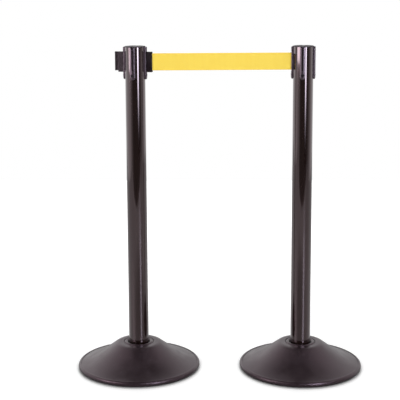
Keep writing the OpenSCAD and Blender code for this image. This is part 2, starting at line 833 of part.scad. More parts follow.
at_right() reel();  // right_reel
at_right() belt_coil(right_belt_out);  // right_belt_coil
at_right() reel_shaft();  // right_reel_shaft
at_right() reel_bushes();  // right_reel_bushes
at_right() spring_cup();  // right_spring_cup
at_right() return_spring();  // right_return_spring
right_belt();
at_left() belt_clip(latched_face);  // right_belt_clip
at_left() clip_pin(latched_face);  // right_clip_pin
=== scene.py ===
"""Looks of a linked pair of retractable belt stanchions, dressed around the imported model.

Everything is in metres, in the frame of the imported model: the floor is z = 0, the origin lies midway between
the posts, and +X runs from the left post to the right post along the belt. A post has a frame of its own, in
which +X points away from its belt mouth, and Post.at turns a point of that frame into a point of the pair.
"""
import json
import logging
import math
from dataclasses import dataclass
from enum import Enum
from functools import cached_property

import bmesh
import bpy
from mathutils import Matrix, Vector


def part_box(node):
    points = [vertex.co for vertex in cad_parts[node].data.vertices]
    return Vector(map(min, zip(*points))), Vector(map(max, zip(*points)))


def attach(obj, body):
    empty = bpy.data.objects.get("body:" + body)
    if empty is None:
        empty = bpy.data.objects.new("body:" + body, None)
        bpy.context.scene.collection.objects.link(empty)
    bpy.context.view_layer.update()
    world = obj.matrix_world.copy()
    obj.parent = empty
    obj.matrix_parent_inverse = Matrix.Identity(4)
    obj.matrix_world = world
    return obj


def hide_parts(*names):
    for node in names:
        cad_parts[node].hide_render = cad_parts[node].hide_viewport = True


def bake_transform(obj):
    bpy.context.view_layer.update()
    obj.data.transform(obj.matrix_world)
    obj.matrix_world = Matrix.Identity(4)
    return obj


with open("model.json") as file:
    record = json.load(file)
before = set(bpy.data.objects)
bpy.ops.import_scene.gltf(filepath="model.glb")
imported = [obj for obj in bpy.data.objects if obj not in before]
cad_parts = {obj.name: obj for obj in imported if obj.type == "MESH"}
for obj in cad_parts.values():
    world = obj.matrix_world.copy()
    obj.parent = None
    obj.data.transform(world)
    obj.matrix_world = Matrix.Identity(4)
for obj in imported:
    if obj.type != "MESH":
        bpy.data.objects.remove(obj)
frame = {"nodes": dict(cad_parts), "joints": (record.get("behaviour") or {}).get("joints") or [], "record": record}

log = logging.getLogger("stanchion_pair")

Colour = tuple[float, float, float]
Range = tuple[float, float]
Socket = bpy.types.NodeSocket
Finish = bpy.types.Material
Feed = Socket | float

MM = 0.001
WHITE: Colour = (1.0, 1.0, 1.0)
NOISE_BODY = (0.3, 0.7)  # where most of a soft noise lies
TURN = 2 * math.pi
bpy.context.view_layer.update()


class Side(Enum):
    """The two posts of the pair, by where they stand."""

    LEFT = "left"
    RIGHT = "right"


class Receiver(Enum):
    """The slotted ribs of a head that take another post's belt clip."""

    FRONT = "front"
    BACK = "back"
    FAR = "side"


class Slot(Enum):
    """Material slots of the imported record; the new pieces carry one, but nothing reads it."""

    RIB = "rib_plastic"
    CAP = "cap_plastic"
    CLIP = "clip_plastic"
    WEBBING = "belt_webbing"


# -------- Finishes --------


class Nodes:
    """A node tree, with short calls for what the finishes and the surroundings share."""

    def __init__(self, holder: Finish | bpy.types.World) -> None:
        """Starts with an empty tree.

        Args:
            holder: The material or the world that the tree belongs to.
        """
        holder.use_nodes = True
        self.tree = holder.node_tree
        self.tree.nodes.clear()

    def add(self, kind: str, **settings: object) -> bpy.types.Node:
        """Adds a node.

        Args:
            kind: Type of the node.
            settings: Values for the node's own properties.

        Returns:
            The new node.
        """
        node = self.tree.nodes.new(kind)
        for name, value in settings.items():
            setattr(node, name, value)
        return node

    def join(self, start: Socket, end: Socket) -> None:
        """Links an output to an input."""
        self.tree.links.new(start, end)

    def feed(self, socket: Socket, value: Feed | Colour | Vector) -> None:
        """Gives an input a link, a number, a colour or a vector.

        Args:
            socket: The input.
            value: What it gets.
        """
        if isinstance(value, Socket):
            self.join(value, socket)
        elif isinstance(value, tuple) and len(value) < len(socket.default_value):
            socket.default_value = (*value, 1.0)
        else:
            socket.default_value = value

    def fill(self, node: bpy.types.Node, **values: Feed | Colour | Vector) -> bpy.types.Node:
        """Sets inputs of a node.

        Args:
            node: The node.
            values: A link, number, colour or vector by input name, with _ for each space.

        Returns:
            The node.
        """
        for name, value in values.items():
            self.feed(node.inputs[name.replace("_", " ")], value)
        return node

    def sum(self, operation: str, *values: Feed) -> Socket:
        """One step of arithmetic.

        Args:
            operation: Blender's name for it.
            values: One to three numbers or outputs.

        Returns:
            The result.
        """
        node = self.add("ShaderNodeMath", operation=operation)
        for socket, value in zip(node.inputs, values):
            self.feed(socket, value)
        return node.outputs["Value"]

    def span(self, value: Feed, low: float, high: float, to_low: float = 0.0, to_high: float = 1.0) -> Socket:
        """Maps a value from one range to another, smoothly and held at both ends.

        Args:
            value: The value.
            low: Start of its range.
            high: End of its range.
            to_low: Result at the start.
            to_high: Result at the end.

        Returns:
            The mapped value.
        """
        node = self.add("ShaderNodeMapRange", interpolation_type="SMOOTHSTEP")
        self.fill(node, Value=value, From_Min=low, From_Max=high, To_Min=to_low, To_Max=to_high)
        return node.outputs["Result"]


class Graph(Nodes):
    """The nodes of one finish."""

    def __init__(self, name: str) -> None:
        """Starts a material with a Principled shader on its output.

        Args:
            name: Name of the material.
        """
        self.material = bpy.data.materials.new(name)
        super().__init__(self.material)
        self.shader = self.add("ShaderNodeBsdfPrincipled")
        self.output = self.add("ShaderNodeOutputMaterial")
        self.join(self.shader.outputs["BSDF"], self.output.inputs["Surface"])
        self.place = self.add("ShaderNodeTexCoord").outputs["Object"]

    def surface(self, **values: Feed | Colour) -> None:
        """Sets inputs of the shader, as fill does."""
        self.fill(self.shader, **values)

    def scaled(self, scale: Vector, source: Socket | None = None) -> Socket:
        """A coordinate, or else the piece's own one, stretched by a factor along each axis."""
        node = self.add("ShaderNodeMapping")
        return self.fill(node, Vector=source or self.place, Scale=scale).outputs["Vector"]

    def noise(self, size: float, detail: float = 2.0, source: Socket | None = None) -> Socket:
        """Soft noise from 0 to 1, with features of a size in metres and octaves of finer detail."""
        node = self.add("ShaderNodeTexNoise")
        return self.fill(node, Vector=source or self.place, Scale=1.0 / size, Detail=detail).outputs["Fac"]

    def cells(self, size: float) -> Socket:
        """Cells of a size in metres, as the distance from the middle of each."""
        node = self.add("ShaderNodeTexVoronoi", feature="F1")
        return self.fill(node, Vector=self.place, Scale=1.0 / size).outputs["Distance"]

    def mix(self, share: Feed, first: Feed | Colour, second: Feed | Colour) -> Socket:
        """Mixes two colours.

        Args:
            share: Share of the second colour.
            first: First colour.
            second: Second colour.

        Returns:
            The mixed colour.
        """
        node = self.add("ShaderNodeMix", data_type="RGBA")
        self.feed(node.inputs[0], share)
        self.feed(node.inputs[6], first)
        self.feed(node.inputs[7], second)
        return node.outputs[2]

    def axis(self, name: str) -> Socket:
        """The X, Y or Z of the piece's own coordinate, in metres."""
        return self.fill(self.add("ShaderNodeSeparateXYZ"), Vector=self.place).outputs[name]

    def reach(self, centre: Vector) -> Socket:
        """Level distance from an upright axis.

        Args:
            centre: A point on the axis.

        Returns:
            The distance.
        """
        offset = self.add("ShaderNodeVectorMath", operation="SUBTRACT")
        self.feed(offset.inputs[0], self.scaled(Vector((1.0, 1.0, 0.0))))
        offset.inputs[1].default_value = (centre.x, centre.y, 0.0)
        length = self.add("ShaderNodeVectorMath", operation="LENGTH")
        self.join(offset.outputs["Vector"], length.inputs[0])
        return length.outputs["Value"]

    def openness(self, distance: float, lean: float, samples: int = 16) -> Socket:
        """How little stands within a distance of a point, looking up and along Y.

        Args:
            distance: How far the look goes.
            lean: How far the look leans towards Y for each unit upward.
            samples: How many looks are taken.

        Returns:
            A value from 0, shut in, to 1, clear.
        """
        length = math.hypot(lean, 1.0)
        aim = self.fill(self.add("ShaderNodeCombineXYZ"), Y=lean / length, Z=1.0 / length).outputs["Vector"]
        node = self.add("ShaderNodeAmbientOcclusion", samples=samples)
        return self.fill(node, Distance=distance, Normal=aim).outputs["AO"]

    def bump(self, height: Feed, depth: float, over: Socket | None = None) -> Socket:
        """Relief of a height.

        Args:
            height: The height, from 0 to 1.
            depth: Depth of the full height, in metres.
            over: Relief that lies under this one.

        Returns:
            The normal.
        """
        node = self.add("ShaderNodeBump")
        self.fill(node, Distance=depth, Height=height)
        if over is not None:
            self.fill(node, Normal=over)
        return node.outputs["Normal"]


@dataclass(frozen=True)
class Patches:
    """Soft patches in a finish, where its noise rises from one level to another."""

    size: float
    detail: float
    low: float
    high: float
    share: float = 1.0
    lay: Vector | None = None

    def on(self, g: Graph) -> Socket:
        """Adds the patches to a finish's graph, as a strength from 0 to their share."""
        source = g.scaled(self.lay) if self.lay else None
        return g.span(g.noise(self.size, self.detail, source), self.low, self.high, 0.0, self.share)


@dataclass(frozen=True)
class Look:
    """A finish, which wires its own nodes."""

    name: str
    colour: Colour

    @cached_property
    def graph(self) -> Graph:
        """The finish's nodes."""
        return Graph(self.name)

    def wire(self) -> None:
        """Adds the finish's nodes."""
        raise NotImplementedError

    def build(self) -> Finish:
        """Makes the material."""
        self.wire()
        return self.graph.material


@dataclass(frozen=True)
class Moulding(Look):
    """Moulded plastic with a fine spark grain, cloudy gloss and pale rubbed spots."""

    rubbed: Colour
    roughness: float
    rub: float
    grain: float = 0.6 * MM
    grain_depth: float = 0.02 * MM
    ior: float = 1.5
    gloss_tint: Colour = WHITE
    ripple: float = 2.4
    cloud_size: float = 35 * MM
    cloud_share: float = 0.08
    cloud_gloss: Range = (-0.04, 0.05)
    rub_spots: Patches = Patches(9 * MM, detail=6.0, low=0.58, high=0.78)
    rub_dulls: float = 0.15

    def wire(self) -> None:
        """Adds the finish's nodes."""
        g = self.graph
        cloud = g.noise(self.cloud_size, detail=4.0)
        rubbed = g.sum("MULTIPLY", self.rub_spots.on(g), self.rub)
        pale = g.sum("ADD", rubbed, g.span(cloud, *NOISE_BODY, 0.0, self.cloud_share))
        dull = g.span(cloud, *NOISE_BODY, *(self.roughness + change for change in self.cloud_gloss))
        ripples = g.bump(g.noise(self.ripple * self.grain), self.grain_depth)
        g.surface(
            Base_Color=g.mix(pale, self.colour, self.rubbed),
            Roughness=g.sum("ADD", dull, g.sum("MULTIPLY", rubbed, self.rub_dulls)),
            Normal=g.bump(g.cells(self.grain), self.grain_depth, ripples),
            IOR=self.ior,
            Specular_Tint=self.gloss_tint,
        )


@dataclass(frozen=True)
class GlossPaint(Look):
    """Gloss black paint under clear lacquer: orange peel, fine upright scratches and dust near the foot."""

    gloss_tint: Colour
    dust: Colour
    dust_top: float
    specks: Patches = Patches(6 * MM, detail=5.0, low=0.5, high=0.8, share=0.35)
    dust_dulls: float = 0.5
    roughness: float = 0.08
    scratches: Patches = Patches(0.5 * MM, 3.0, low=0.66, high=0.8, lay=Vector((1.0, 1.0, 0.02)).freeze())
    scratch_dulls: float = 0.1
    peel: float = 2.6 * MM
    peel_depth: float = 0.006 * MM
    ior: float = 1.7
    lacquer_roughness: float = 0.04

    def wire(self) -> None:
        """Adds the finish's nodes."""
        g = self.graph
        dusty = g.sum("MULTIPLY", g.span(g.axis("Z"), self.dust_top, self.dust_top / 3), self.specks.on(g))
        dull = g.sum("MULTIPLY_ADD", self.scratches.on(g), self.scratch_dulls, self.roughness)
        g.surface(
            Base_Color=g.mix(dusty, self.colour, self.dust),
            Roughness=g.sum("ADD", dull, g.sum("MULTIPLY", dusty, self.dust_dulls)),
            Normal=g.bump(g.noise(self.peel, detail=1.0), self.peel_depth),
            IOR=self.ior,
            Specular_Tint=self.gloss_tint,
            Coat_Weight=1.0,
            Coat_Roughness=self.lacquer_roughness,
        )


@dataclass(frozen=True)
class Webbing(Look):
    """Woven polyester webbing: warp ribs crossed by weft, with a denser selvedge along both edges, random streaks
    and painted shade in the valleys between the threads.
    """

    # Darker colour for random streaks and for painted shade in the weave's valleys.
    streak_and_valley_shade: Colour
    selvedge: Colour
    low: float
    high: float
    selvedge_w: float = 3.2 * MM
    selvedge_inner: float = 0.6
    rib: float = 1.3 * MM
    pick: float = 0.8 * MM
    weave_depth: float = 0.10 * MM
    # Strength of the painted shade in the weave's valleys.
    weave_shade: float = 0.22
    streaks: Patches = Patches(14 * MM, 3.0, *NOISE_BODY, share=0.3, lay=Vector((1.0, 1.0, 0.05)).freeze())
    fuzz_size: float = 0.25 * MM
    fuzz_depth: float = 0.03 * MM
    roughness: Range = (0.62, 0.82)
    sheen: float = 0.15
    sheen_roughness: float = 0.4
    gloss: float = 0.25

    def wire(self) -> None:
        """Adds the finish's nodes."""
        g = self.graph
        height = g.axis("Z")
        warp = g.sum("SINE", g.sum("MULTIPLY", height, TURN / self.rib))
        weft = g.sum("SINE", g.sum("MULTIPLY", g.sum("ADD", g.axis("X"), g.axis("Y")), TURN / self.pick))
        over = g.sum("MULTIPLY", warp, weft)
        threads = g.sum("ADD", g.sum("MULTIPLY", warp, 0.5), g.sum("MULTIPLY", over, 0.5))
        weave = g.span(threads, -1.0, 1.0)
        middle, half = (self.low + self.high) / 2, (self.high - self.low) / 2
        outward = g.sum("ABSOLUTE", g.sum("SUBTRACT", height, middle))
        edge = g.span(outward, half - self.selvedge_w, half - self.selvedge_inner * self.selvedge_w)
        fuzz = g.noise(self.fuzz_size)
        # The darker colour marks random streaks and painted shade in the weave's valleys.
        share = g.sum("ADD", self.streaks.on(g), self.weave_shade)
        share = g.sum("MULTIPLY_ADD", weave, -self.weave_shade, share)
        g.surface(
            Base_Color=g.mix(edge, g.mix(share, self.colour, self.streak_and_valley_shade), self.selvedge),
            Roughness=g.span(fuzz, *NOISE_BODY, *self.roughness),
            Normal=g.bump(fuzz, self.fuzz_depth, g.bump(weave, self.weave_depth)),
            Sheen_Weight=self.sheen,
            Sheen_Roughness=self.sheen_roughness,
            Specular_IOR_Level=self.gloss,
        )


@dataclass(frozen=True)
class Steel(Look):
    """Bare or plated steel, drawn or turned, with faint stains."""

    stain: Colour
    roughness: float
    lay: Vector = Vector((1.0, 1.0, 0.05)).freeze()
    line_w: float = 0.35 * MM
    line_depth: float = 0.004 * MM
    line_gloss: float = 0.06
    spangle: float = 6 * MM
    spangle_range: Range = (0.1, 0.6)
    spangle_dulls: float = 0.08
    stains: Patches = Patches(12 * MM, detail=5.0, low=0.55, high=0.75, share=0.5)

    def wire(self) -> None:
        """Adds the finish's nodes."""
        g = self.graph
        lines = g.noise(self.line_w, detail=3.0, source=g.scaled(self.lay))
        dull = g.span(lines, *NOISE_BODY, self.roughness - self.line_gloss, self.roughness + self.line_gloss)
        spangle = g.span(g.cells(self.spangle), *self.spangle_range)
        g.surface(
            Base_Color=g.mix(self.stains.on(g), self.colour, self.stain),
            Metallic=1.0,
            Roughness=g.sum("ADD", dull, g.sum("MULTIPLY", spangle, self.spangle_dulls)),
            Normal=g.bump(lines, self.line_depth),
        )


@dataclass(frozen=True)
class Rubber(Look):
    """Black rubber with bloom and a fine moulded grain."""

    bloom: Colour
    blooms: Patches = Patches(18 * MM, detail=5.0, low=0.45, high=0.75, share=0.4)
    roughness: Range = (0.62, 0.85)
    grain: float = 0.9 * MM
    grain_depth: float = 0.05 * MM

    def wire(self) -> None:
        """Adds the finish's nodes."""
        g = self.graph
        bloom = self.blooms.on(g)
        g.surface(
            Base_Color=g.mix(bloom, self.colour, self.bloom),
            Roughness=g.span(bloom, 0.0, self.blooms.share, *self.roughness),
            Normal=g.bump(g.cells(self.grain), self.grain_depth),
        )


@dataclass(frozen=True)
class Concrete(Look):
    """Cast concrete with sand, air holes and damp patches."""

    sand: Colour
    grain: float = 1.6 * MM
    grain_depth: float = 0.3 * MM
    grain_range: Range = (0.4, 0.7)
    grain_share: float = 0.4
    hole_pitch: float = 7 * MM
    hole_edge: float = 0.16
    hole_depth: float = 0.8 * MM
    damp: Patches = Patches(50 * MM, detail=4.0, low=0.35, high=0.7, share=0.5)
    roughness: Range = (0.8, 0.95)

    def wire(self) -> None:
        """Adds the finish's nodes."""
        g = self.graph
        grains = g.noise(self.grain, detail=6.0)
        holes = g.span(g.cells(self.hole_pitch), 0.0, self.hole_edge)
        sandy = g.sum("ADD", self.damp.on(g), g.span(grains, *self.grain_range, 0.0, self.grain_share))
        g.surface(
            Base_Color=g.mix(sandy, self.colour, self.sand),
            Roughness=g.span(grains, *NOISE_BODY, *self.roughness),
            Normal=g.bump(holes, self.hole_depth, g.bump(grains, self.grain_depth)),
        )


@dataclass(frozen=True)
class WoundWebbing(Look):
    """Edge-on windings of the belt on its reel, seen as fine rings about the reel's axis, with painted shade in
    the gaps between windings.
    """

    # Painted shade colour in the gaps between windings.
    painted_gap_shade: Colour
    centre: Vector
    pitch: float = 0.5 * MM
    ring_range: Range = (-1.0, 0.4)
    ring_depth: float = 0.15 * MM
    fuzz_size: float = 0.3 * MM
    fuzz_depth: float = 0.03 * MM
    fuzz_range: Range = (0.2, 0.6)
    fuzz_light: Range = (0.75, 1.0)
    roughness: Range = (0.65, 0.85)

    def wire(self) -> None:
        """Adds the finish's nodes."""
        g = self.graph
        waves = g.sum("SINE", g.sum("MULTIPLY", g.reach(self.centre), TURN / self.pitch))
        rings = g.span(waves, *self.ring_range)
        fuzz = g.noise(self.fuzz_size)
        # Rings take the belt's colour, and the gaps between them take painted shade.
        lit = g.sum("MULTIPLY", rings, g.span(fuzz, *self.fuzz_range, *self.fuzz_light))
        g.surface(
            Base_Color=g.mix(lit, self.painted_gap_shade, self.colour),
            Roughness=g.span(fuzz, *NOISE_BODY, *self.roughness),
            Normal=g.bump(fuzz, self.fuzz_depth, g.bump(rings, self.ring_depth)),
        )


@dataclass(frozen=True)
class Finishes:
    """Every finish of the pair, built once."""

    cover: Finish
    tube: Finish
    rib: Finish
    cap: Finish
    # Lit and shaded copies of the one clip plastic.
    lit_parked_clip: Finish
    shaded_latched_clip: Finish
    cassette: Finish
    reel: Finish
    webbing: Finish
    zinc: Finish
    ground_steel: Finish
    spring_steel: Finish
    screws: Finish
    bronze: Finish
    rubber: Finish
    concrete: Finish

    @classmethod
    def make(cls, belt_low: float, belt_high: float) -> "Finishes":
        """Builds the finishes.

        Args:
            belt_low: Height of the belt's lower edge.
            belt_high: Height of the belt's upper edge.

        Returns:
            The finishes.
        """
        grey = (0.11, 0.10, 0.105)
        plum = (1.0, 0.76, 0.91)
        looks = dict(
            cover=Moulding(
                "cover_moulding", (0.0120, 0.0076, 0.0092), (0.048, 0.038, 0.042), roughness=0.34, rub=0.3,
                grain=1.1 * MM, grain_depth=0.045 * MM, ior=1.6, gloss_tint=(1.0, 0.71, 0.83),
            ),
            tube=GlossPaint(
                "tube_gloss_black", (0.009, 0.0045, 0.0035), gloss_tint=(1.0, 0.66, 0.73),
                dust=(0.12, 0.11, 0.10), dust_top=0.12,
            ),
            rib=Moulding(
                "rib_moulding", (0.026, 0.0195, 0.0240), grey, roughness=0.32, rub=0.12,
                grain=0.5 * MM, grain_depth=0.010 * MM, ior=1.8, gloss_tint=plum,
            ),
            cap=Moulding(
                "cap_moulding", (0.026, 0.0205, 0.0245), grey, roughness=0.55, rub=0.2,
                grain=0.5 * MM, grain_depth=0.012 * MM, ior=1.4, gloss_tint=plum,
            ),
            # Two copies of the one clip plastic: the parked clip's is painted lighter as painted light, and the
            # latched clip's darker as painted shade.
            lit_parked_clip=Moulding(
                "lit_parked_clip_moulding", (0.021, 0.0160, 0.0172), grey, roughness=0.42, rub=0.12,
                ior=1.45, gloss_tint=plum,
            ),
            shaded_latched_clip=Moulding(
                "shaded_latched_clip_moulding", (0.006, 0.0036, 0.0042), grey, roughness=0.5, rub=0.05,
                ior=1.22, gloss_tint=plum,
            ),
            cassette=Moulding("cassette_moulding", (0.014, 0.014, 0.015), grey, roughness=0.5, rub=0.1),
            reel=Moulding(
                "reel_nylon", (0.62, 0.61, 0.56), (0.75, 0.74, 0.70), roughness=0.38, rub=0.3,
                grain=0.8 * MM, grain_depth=0.01 * MM,
            ),
            webbing=Webbing(
                "yellow_webbing", (0.95, 0.71, 0.10), streak_and_valley_shade=(0.91, 0.63, 0.075), selvedge=(0.94, 0.67, 0.08),
                low=belt_low, high=belt_high,
            ),
            zinc=Steel("zinc_plated_steel", (0.62, 0.63, 0.65), (0.42, 0.43, 0.45), roughness=0.34),
            ground_steel=Steel("ground_steel", (0.70, 0.70, 0.72), (0.5, 0.5, 0.52), roughness=0.2),
            spring_steel=Steel("blued_spring_steel", (0.16, 0.19, 0.25), (0.22, 0.16, 0.12), roughness=0.3),
            screws=Steel("black_oxide_steel", (0.035, 0.034, 0.036), (0.09, 0.085, 0.08), roughness=0.38),
            bronze=Steel("sintered_bronze", (0.62, 0.43, 0.20), (0.42, 0.27, 0.12), roughness=0.42),
            rubber=Rubber("black_rubber", (0.012, 0.012, 0.012), bloom=(0.05, 0.05, 0.048)),
            concrete=Concrete("ballast_concrete", (0.40, 0.39, 0.37), sand=(0.26, 0.25, 0.23)),
        )
        return cls(**{part: look.build() for part, look in looks.items()})


def dress(piece: bpy.types.Object, finish: Finish) -> None:
    """Gives a piece one finish on all its faces."""
    piece.data.materials.clear()
    piece.data.materials.append(finish)


# -------- Mesh helpers --------


def mesh_of(name: str, shape: bmesh.types.BMesh) -> bpy.types.Mesh:
    """Turns a shape into a mesh and frees it.

    Args:
        name: Name of the mesh.
        shape: The shape.

    Returns:
        The mesh.
    """
    mesh = bpy.data.meshes.new(name)
    shape.to_mesh(mesh)
    shape.free()
    return mesh


def link(name: str, data: bpy.types.ID) -> bpy.types.Object:
    """Puts a mesh, a lamp or a camera into the scene.

    Args:
        name: Name of the new object.
        data: What it shows.

    Returns:
        The object.
    """
    item = bpy.data.objects.new(name, data)
    bpy.context.scene.collection.objects.link(item)
    return item


def centre_of(node: str) -> Vector:
    """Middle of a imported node's box."""
    low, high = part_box(node)
    return (low + high) / 2


@dataclass
class EasedMoulding:
    """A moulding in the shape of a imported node, with its sharp edges eased as a mould leaves them."""

    node: str
    name: str
    body: str
    slot: Slot
    finish: Finish
    ease: float = 0.35 * MM
    steps: int = 2
    sharp: float = math.radians(30)
    flat: float = math.radians(0.6)
    weld: float = 0.002 * MM

    def build(self) -> None:
        """Builds the piece and stands it in for its node."""
        shape = bmesh.new()
        shape.from_mesh(frame["nodes"][self.node].data)
        bmesh.ops.remove_doubles(shape, verts=shape.verts, dist=self.weld)
        bmesh.ops.dissolve_limit(shape, angle_limit=self.flat, verts=shape.verts, edges=shape.edges)
        edges = [e for e in shape.edges if e.is_manifold and e.calc_face_angle() > self.sharp]
        bmesh.ops.bevel(
            shape, geom=edges, offset=self.ease, offset_type="OFFSET", segments=self.steps, profile=0.5,
            affect="EDGES", clamp_overlap=True, loop_slide=True,
        )
        mesh = mesh_of(self.name, shape)
        mesh.shade_smooth()
        mesh.set_sharp_from_angle(angle=self.sharp)
        piece = link(self.name, mesh)
        piece.modifiers.new("even_shading", "WEIGHTED_NORMAL").keep_sharp = True
        dress(piece, self.finish)
        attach(piece, self.body)
        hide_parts(self.node)
        log.info("eased %s: %d faces", self.name, len(mesh.polygons))


@dataclass
class Strap:
    """A length of webbing stood on edge along a path, with thicker rounded selvedges."""

    name: str
    path: list[Vector]
    low: float
    high: float
    finish: Finish
    half_t: float = 0.25 * MM
    edge_half_t: float = 0.33 * MM
    edge_w: float = 2.6 * MM
    edge_blunt: float = 0.15
    rows: int = 26
    edge_rows: int = 5
    sharp: float = math.radians(60)

    def heights(self) -> list[float]:
        """Heights of the rows of vertices, closer together at both selvedges.

        Returns:
            The heights above the lower edge.
        """
        width = self.high - self.low
        edge = [self.edge_w * (1 - math.cos(math.pi / 2 * i / self.edge_rows)) for i in range(self.edge_rows)]
        inner = [self.edge_w + (width - 2 * self.edge_w) * i / self.rows for i in range(self.rows + 1)]
        return edge + inner + [width - d for d in reversed(edge)]

    def half_thickness(self, height: float) -> float:
        """Half the webbing's thickness at a height above its lower edge.

        Args:
            height: The height.

        Returns:
            Half the thickness.
        """
        inward = min(height, self.high - self.low - height)
        if inward >= self.edge_w:
            return self.half_t
        round_end = math.sqrt(max(0.0, 1 - (1 - min(1.0, inward / self.edge_half_t)) ** 2))
        swell = math.cos(math.pi / 2 * inward / self.edge_w) ** 2
        bead = self.half_t + (self.edge_half_t - self.half_t) * swell
        return bead * max(round_end, self.edge_blunt)

    def normals(self) -> list[Vector]:
        """Unit vectors square to the path, one for each of its points.

        Returns:
            The vectors.
        """
        last = len(self.path) - 1
        found = []
        for i in range(last + 1):
            along = (self.path[min(i + 1, last)] - self.path[max(i - 1, 0)]).normalized()
            found.append(Vector((-along.y, along.x, 0.0)))
        return found

    def length(self) -> float:
        """Length of the path."""
        return sum((b - a).length for a, b in zip(self.path, self.path[1:]))

    def build(self) -> bpy.types.Object:
        """Builds the strap.

        Returns:
            The strap, with no body yet.
        """
        heights = self.heights()
        shape = bmesh.new()
        rings = []
        for point, normal in zip(self.path, self.normals()):
            ring = []
            for face in (1, -1):
                for height in heights if face > 0 else reversed(heights):
                    offset = normal * self.half_thickness(height) * face
                    ring.append(shape.verts.new((point.x + offset.x, point.y + offset.y, self.low + height)))
            rings.append(ring)
        count = len(rings[0])
        for first, second in zip(rings, rings[1:]):
            for i in range(count):
                j = (i + 1) % count
                shape.faces.new((first[i], second[i], second[j], first[j]))
        for ring in (rings[0], rings[-1]):
            half = count // 2
            for i in range(half - 1):
                shape.faces.new((ring[i], ring[i + 1], ring[count - 2 - i], ring[count - 1 - i]))
        bmesh.ops.recalc_face_normals(shape, faces=shape.faces)
        mesh = mesh_of(self.name, shape)
        mesh.shade_smooth()
        mesh.set_sharp_from_angle(angle=self.sharp)
        piece = link(self.name, mesh)
        piece.visible_glossy = False
        dress(piece, self.finish)
        log.info("strap %s: %.0f mm of webbing", self.name, self.length() / MM)
        return piece


# -------- Sub-assemblies --------


@dataclass
class Post:
    """Where one post stands and how it is turned about its axis."""

    side: Side
    axis: Vector
    turn: float

    @classmethod
    def find(cls, side: Side) -> "Post":
        """Reads a post's place from its reel's joint and its turn from a receiver's mount.

        Args:
            side: Which post.

        Returns:
            The post.
        """
        reel = next(j for j in frame["joints"] if j["name"] == f"{side.value}_reel_spin")
        slot = next(m for m in frame["record"]["mounts"] if m["name"] == f"{side.value}_back_receiver_slot")
        axis = Vector((reel["pos_m"][0], reel["pos_m"][1], 0.0))
        back = Vector(slot["pos_m"]) - axis
        return cls(side, axis, math.atan2(back.x, back.y))

    def node(self, name: str) -> str:
        """Name of one of this post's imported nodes."""
        return f"{self.side.value}_{name}"

    @property
    def body(self) -> str:
        """Name of the body of the post itself."""
        return self.node("post")

    def at(self, x: float, y: float) -> Vector:
        """A point x away from the belt mouth and y towards the back of the post, as a point of the pair."""
        return self.axis + Matrix.Rotation(-self.turn, 3, "Z") @ Vector((x, y, 0.0))

    def dress(self, finish: Finish, *names: str) -> None:
        """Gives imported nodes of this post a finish.

        Args:
            finish: The material.
            names: The nodes, without the post's side.
        """
        for name in names:
            dress(frame["nodes"][self.node(name)], finish)
            log.info("dressed %s in %s", self.node(name), finish.name)


@dataclass
class PostPart:
    """A sub-assembly of one post."""

    post: Post
    finishes: Finishes


@dataclass
class WeightedBase(PostPart):
    """Bell cover with its ballast, plate, tie bolt and floor ring."""

    def build(self) -> None:
        """Dresses the base."""
        self.post.dress(self.finishes.cover, "base_cover")
        self.post.dress(self.finishes.concrete, "ballast")
        self.post.dress(self.finishes.zinc, "base_plate", "tie_bolt", "washers", "foot_plug")
        self.post.dress(self.finishes.rubber, "floor_ring", "collar_gasket")


@dataclass
class PostTube(PostPart):
    """The painted steel tube."""

    def build(self) -> None:
        """Dresses the tube."""
        self.post.dress(self.finishes.tube, "post_tube")


@dataclass
class Head(PostPart):
    """Receivers, belt mouth and cap around the cassette."""

    def build(self) -> None:
        """Builds the eased mouldings and dresses what they are screwed to."""
        for receiver in Receiver:
            self.moulding(f"{receiver.value}_receiver", Slot.RIB, self.finishes.rib)
        self.moulding("mouth_guide", Slot.RIB, self.finishes.rib)
        self.moulding("top_cap", Slot.CAP, self.finishes.cap)
        self.post.dress(self.finishes.screws, "rib_screws")
        self.post.dress(self.finishes.ground_steel, "cap_screw", "guide_pins")
        self.post.dress(self.finishes.cassette, "cassette_body", "cassette_lid")

    def moulding(self, name: str, slot: Slot, finish: Finish) -> None:
        """Builds the eased moulding of one node, which is named without the post's side."""
        node, piece = self.post.node(name), self.post.node(f"{name}_moulding")
        EasedMoulding(node, piece, self.post.body, slot, finish).build()


@dataclass
class ReelCassette(PostPart):
    """Reel, wound belt, shaft and return spring in the cassette."""

    def build(self) -> None:
        """Dresses the reel and what turns it."""
        # The wound belt's rings, with painted shade between them.
        rings = WoundWebbing(
            self.post.node("wound_webbing"), (0.93, 0.66, 0.09), painted_gap_shade=(0.28, 0.15, 0.02), centre=self.post.axis
        )
        self.post.dress(self.finishes.reel, "reel")
        self.post.dress(rings.build(), "belt_coil")
        self.post.dress(self.finishes.ground_steel, "reel_shaft")
        self.post.dress(self.finishes.bronze, "reel_bushes")
        self.post.dress(self.finishes.zinc, "spring_cup")
        self.post.dress(self.finishes.spring_steel, "return_spring")


